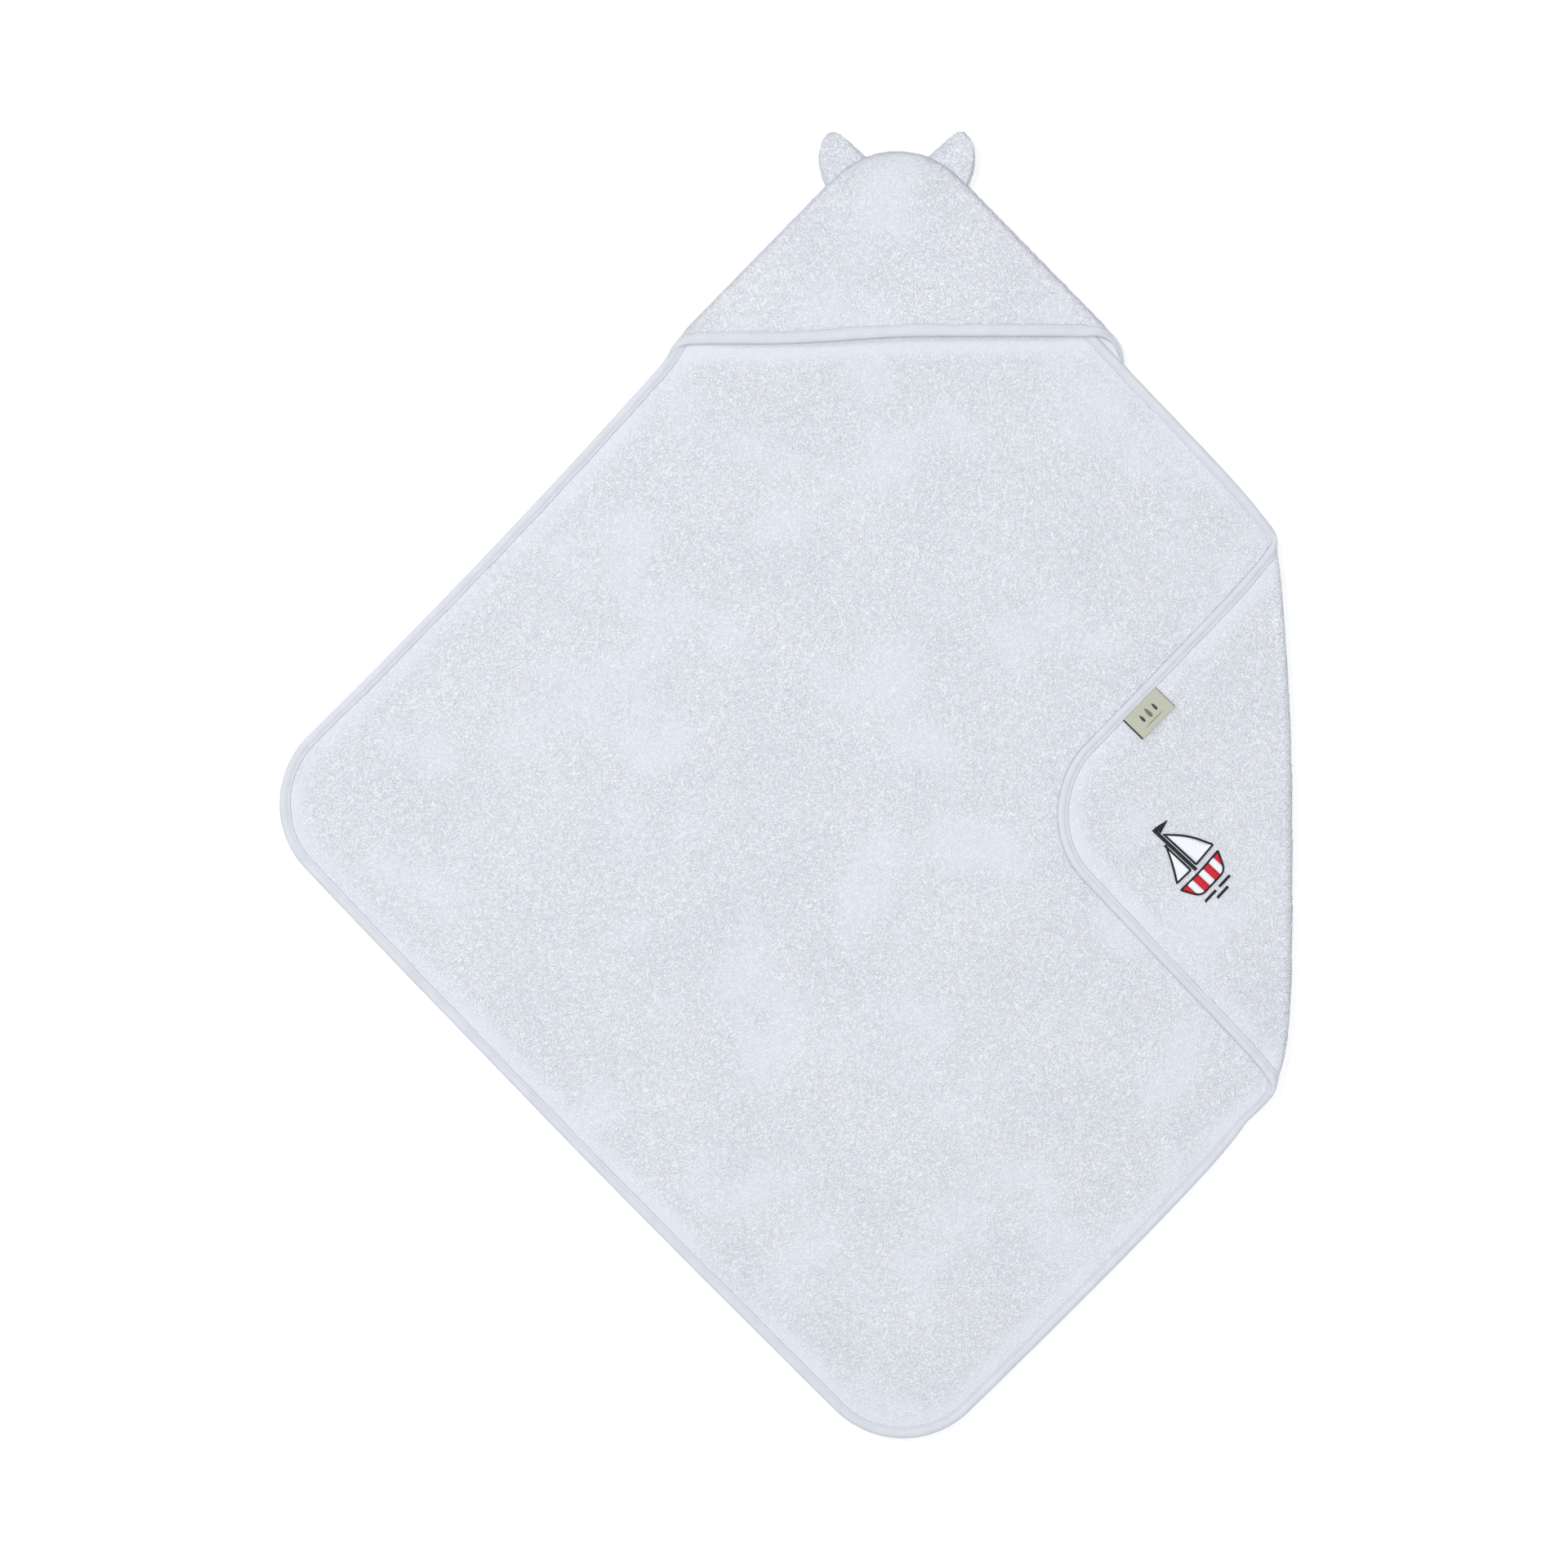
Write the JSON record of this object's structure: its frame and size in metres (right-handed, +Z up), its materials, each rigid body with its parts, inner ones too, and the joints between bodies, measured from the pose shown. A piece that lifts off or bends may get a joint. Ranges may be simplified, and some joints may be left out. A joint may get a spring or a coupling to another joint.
{
  "type": "hooded baby towel",
  "caption": "Square terry baby towel laid on its corner, with a pocket hood with two ears, bound edges, an embroidered folded corner and a side label.",
  "frame": {"origin": "middle of the towel's square, on its underside, which rests on the surface", "axes": "+Y towards the hood, +X towards the folded corner, +Z up, out of the towel's front"},
  "size_m": [0.8107, 1.0413, 0.0117],
  "materials": {
    "terry": "uncut cotton loop pile, matte, very pale cool grey",
    "binding_tape": "smooth folded jersey tape, matte, with a soft edge",
    "white_thread": "satin stitch in white embroidery thread, soft gloss along the stitches",
    "black_thread": "satin stitch in black embroidery thread, soft gloss",
    "red_thread": "satin stitch in red embroidery thread, soft gloss",
    "label_ribbon": "finely woven ribbon, satin, pale sage with black selvedges",
    "backing_fleece": "thin non-woven, matte"
  },
  "bodies": {
    "towel": {"edge_binding_left": "binding_tape", "edge_binding_right": "binding_tape", "fold_binding_lower": "binding_tape", "fold_binding_upper": "binding_tape", "fold_roll": "terry", "main_panel": "terry"},
    "hood": {"hood_back_panel": "terry", "hood_front_panel": "terry", "hood_opening_binding": "binding_tape", "hood_seam_binding": "binding_tape", "neck_binding_left": "binding_tape", "neck_binding_right": "binding_tape"},
    "left_ear": {"left_ear_front": "terry", "left_ear_back": "terry"},
    "right_ear": {"right_ear_front": "terry", "right_ear_back": "terry"},
    "corner_flap": {"embroidery_backing": "backing_fleece", "flap_binding": "binding_tape", "flap_panel": "terry", "motif_hull_edge": "black_thread", "motif_hull_red_1": "red_thread", "motif_hull_red_2": "red_thread", "motif_hull_red_3": "red_thread", "motif_hull_red_4": "red_thread", "motif_hull_white_1": "white_thread", "motif_hull_white_2": "white_thread", "motif_hull_white_3": "white_thread", "motif_jib_edge": "black_thread", "motif_jib_fill": "white_thread", "motif_main_sail_edge": "black_thread", "motif_main_sail_fill": "white_thread", "motif_mast": "black_thread", "motif_pennant": "black_thread", "motif_wave_1": "black_thread", "motif_wave_2": "black_thread", "motif_wave_3": "black_thread"},
    "label": {"side_label": "label_ribbon"}
  },
  "joints": [
    {"name": "neck_fold", "type": "hinge", "parent": "towel", "child": "hood", "pos_m": [0, 0.35, 0.0076], "axis": [1, 0, 0], "range_deg": [0, 165]},
    {"name": "left_ear_fold", "type": "hinge", "parent": "hood", "child": "left_ear", "pos_m": [-0.0454, 0.5056, 0.007], "axis": [0.7604, 0.6494, 0], "range_deg": [0, 120]},
    {"name": "right_ear_fold", "type": "hinge", "parent": "hood", "child": "right_ear", "pos_m": [0.035, 0.5056, 0.007], "axis": [0.7604, -0.6494, 0], "range_deg": [0, 120]},
    {"name": "corner_unfold", "type": "hinge", "parent": "towel", "child": "corner_flap", "pos_m": [0.3074, 0, 0.0037], "axis": [0, 1, 0], "range_deg": [0, 179]},
    {"name": "label_fold", "type": "hinge", "parent": "corner_flap", "child": "label", "pos_m": [0.1884, 0.07856, 0.0085], "axis": [-0.6985, -0.7156, 0], "range_deg": [0, 170]}
  ]
}
